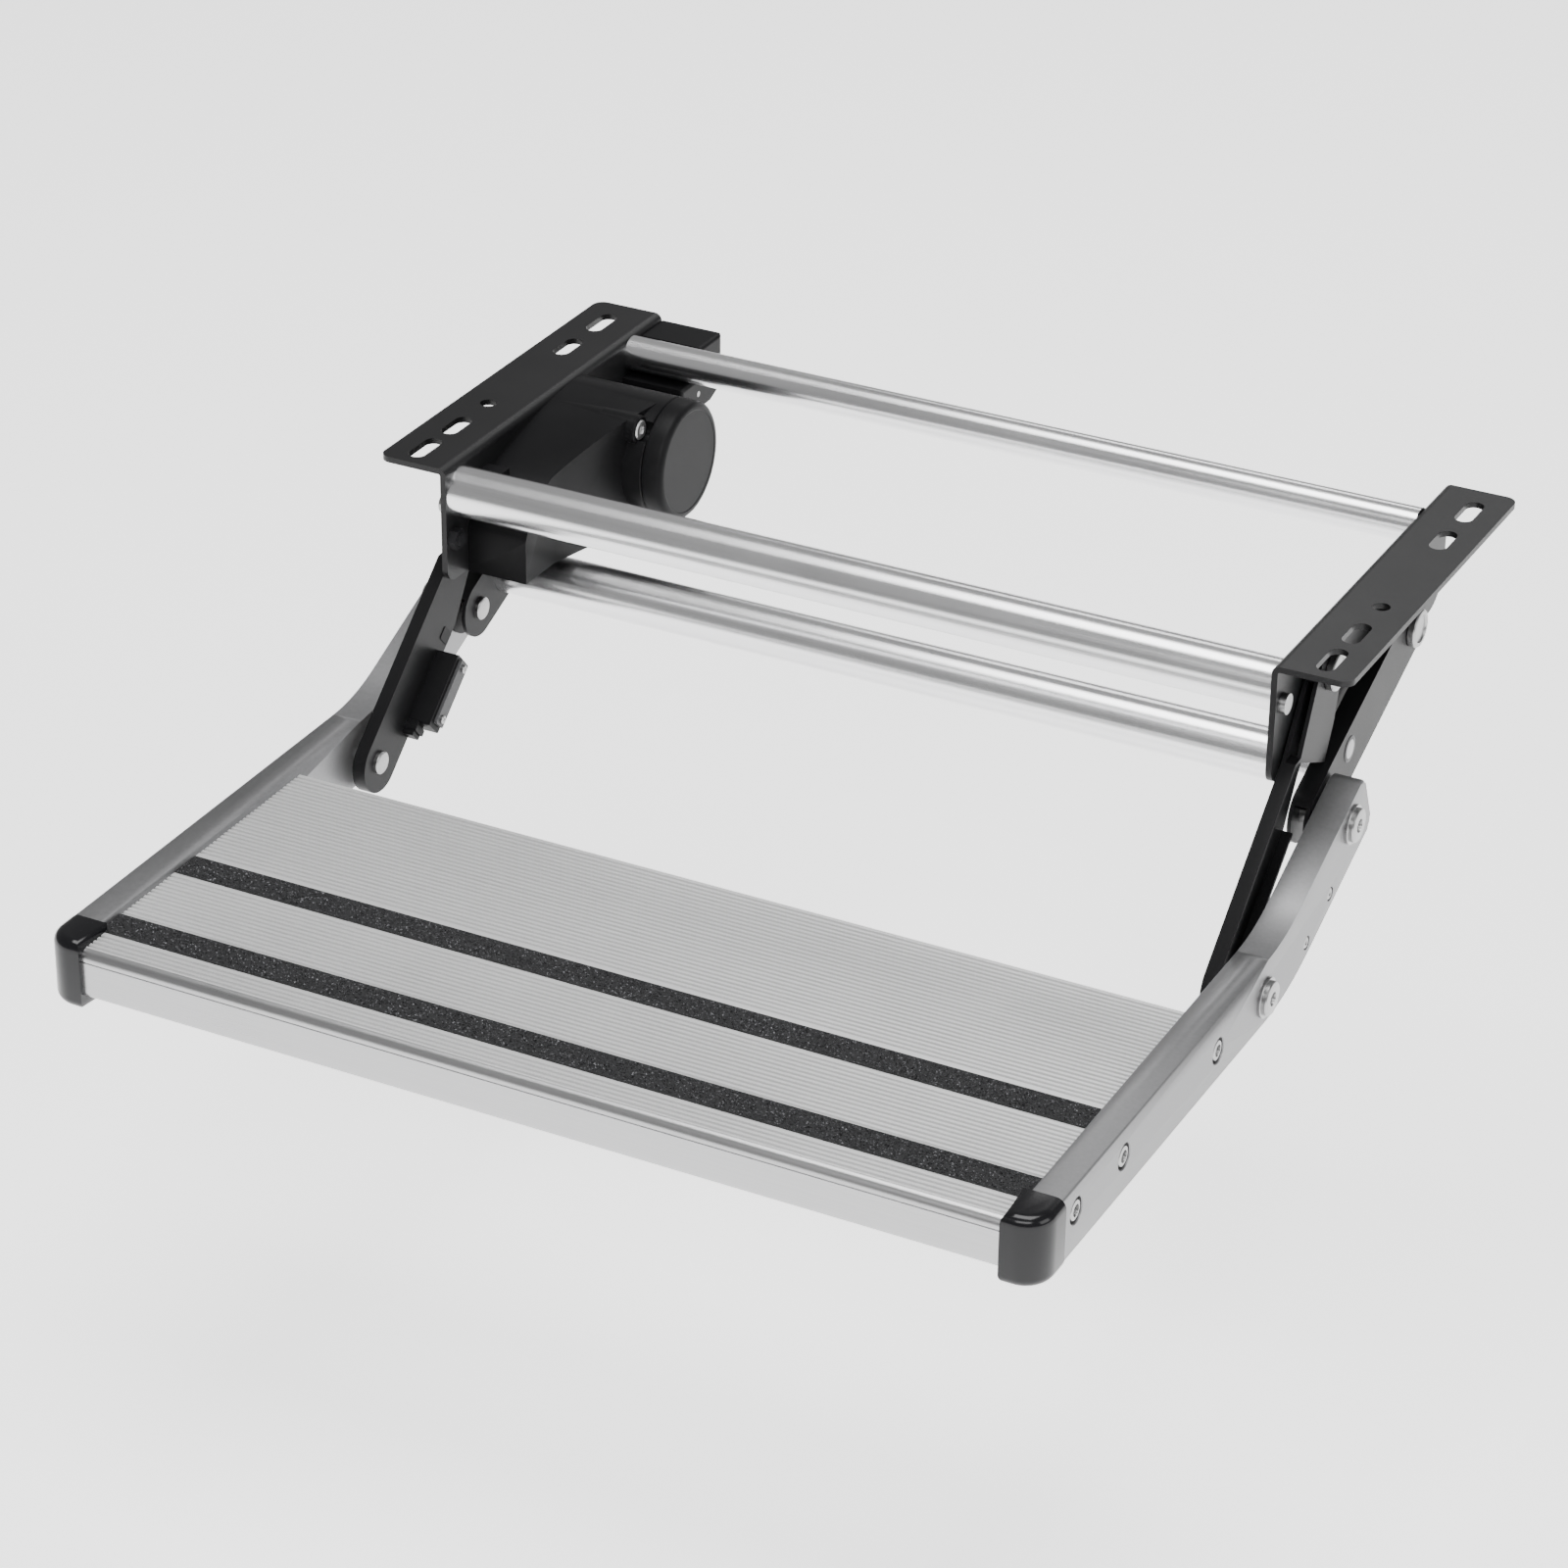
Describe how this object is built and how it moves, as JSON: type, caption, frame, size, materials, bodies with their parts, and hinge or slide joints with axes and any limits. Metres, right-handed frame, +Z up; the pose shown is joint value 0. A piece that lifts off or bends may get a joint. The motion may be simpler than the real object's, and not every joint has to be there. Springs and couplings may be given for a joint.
{
  "type": "caravan entry step",
  "caption": "Motorised swing-out entry step: a ribbed alloy tread between bent rails on two pairs of arms under flanged floor brackets, with a geared motor.",
  "frame": {"origin": "midway between the two round holes in the mounting flanges, on the flanges' upper faces", "axes": "+X across the step, to the right of a person who faces it; +Y from the step back under the vehicle; +Z up"},
  "size_m": [0.51, 0.527, 0.1495],
  "materials": {
    "bracket_coat": "satin black powder coat",
    "arm_coat": "satin black powder coat",
    "silver_alloy": "clear anodised",
    "cap_plastic": "glossy black",
    "grip_rubber": "gritty matt black",
    "housing_cast": "matt black coated casting",
    "motor_shell": "satin black",
    "box_plastic": "matt black moulding",
    "grey_plastic": "matt grey moulding",
    "light_label": "light grey",
    "bright_steel": "bright zinc plated",
    "machined_steel": "machined, lightly oiled",
    "bush_bronze": "sintered bronze",
    "insert_alloy": "as machined",
    "motor_stack": "plain dark",
    "board_green": "green board"
  },
  "bodies": {
    "frame": {"bracket_left": "bracket_coat", "bracket_right": "bracket_coat", "front_tube": "silver_alloy", "rear_tube": "silver_alloy", "tube_plugs": "insert_alloy", "tube_bolts": "bright_steel", "plate_screw": "bright_steel", "plate_nut": "bright_steel", "pivot_studs": "bright_steel", "pivot_washers": "machined_steel", "shaft_bushes": "bush_bronze", "gearbox_housing": "housing_cast", "housing_screws": "bright_steel", "motor_can": "motor_shell", "motor_core": "motor_stack", "motor_cap": "box_plastic", "pinion_bush": "bush_bronze", "control_base": "box_plastic", "control_lid": "box_plastic", "control_board": "board_green", "control_screw": "bright_steel"},
    "rear_arms": {"rear_arm_left": "arm_coat", "rear_arm_right": "arm_coat", "rear_arm_bush": "bush_bronze", "crossbar": "silver_alloy", "rear_rail_rivets": "bright_steel", "output_shaft": "machined_steel", "output_wheel": "machined_steel", "drive_keys": "machined_steel", "shaft_bolt": "bright_steel"},
    "front_arms": {"front_arm_left": "arm_coat", "front_arm_right": "arm_coat", "front_arm_bushes": "bush_bronze", "front_rail_pins": "bright_steel", "switch_body": "box_plastic", "switch_cover": "grey_plastic", "switch_fixings": "bright_steel", "switch_label": "light_label"},
    "step": {"rail_left": "silver_alloy", "rail_right": "silver_alloy", "insert_left": "insert_alloy", "insert_right": "insert_alloy", "rail_studs": "bright_steel", "rail_screws": "bright_steel", "insert_screws": "bright_steel", "tread": "silver_alloy", "grip_strips": "grip_rubber", "end_cap_left": "cap_plastic", "end_cap_right": "cap_plastic"},
    "drive_pinion": {"pinion": "machined_steel", "pinion_shaft": "machined_steel"}
  },
  "joints": [
    {"name": "rear_arm_swing", "type": "hinge", "parent": "frame", "child": "rear_arms", "pos_m": [0, 0.071, -0.044], "axis": [1, 0, 0], "range_deg": [0, 130]},
    {"name": "front_arm_swing", "type": "hinge", "parent": "frame", "child": "front_arms", "pos_m": [0, -0.03, -0.022], "axis": [1, 0, 0], "range_deg": [0, 89.5]},
    {"name": "step_tilt", "type": "hinge", "parent": "front_arms", "child": "step", "pos_m": [0, -0.141, -0.133], "axis": [1, 0, 0], "range_deg": [-93, 0]},
    {"name": "pinion_spin", "type": "hinge", "parent": "frame", "child": "drive_pinion", "pos_m": [-0.202, 0.04695, -0.03349], "axis": [1, 0, 0], "range_deg": [-260, 0]}
  ],
  "couplings": [
    {"joint": "front_arm_swing", "follows": "rear_arm_swing", "ratio": 0.68507},
    {"joint": "step_tilt", "follows": "rear_arm_swing", "ratio": -0.71104},
    {"joint": "pinion_spin", "follows": "rear_arm_swing", "ratio": -2}
  ]
}
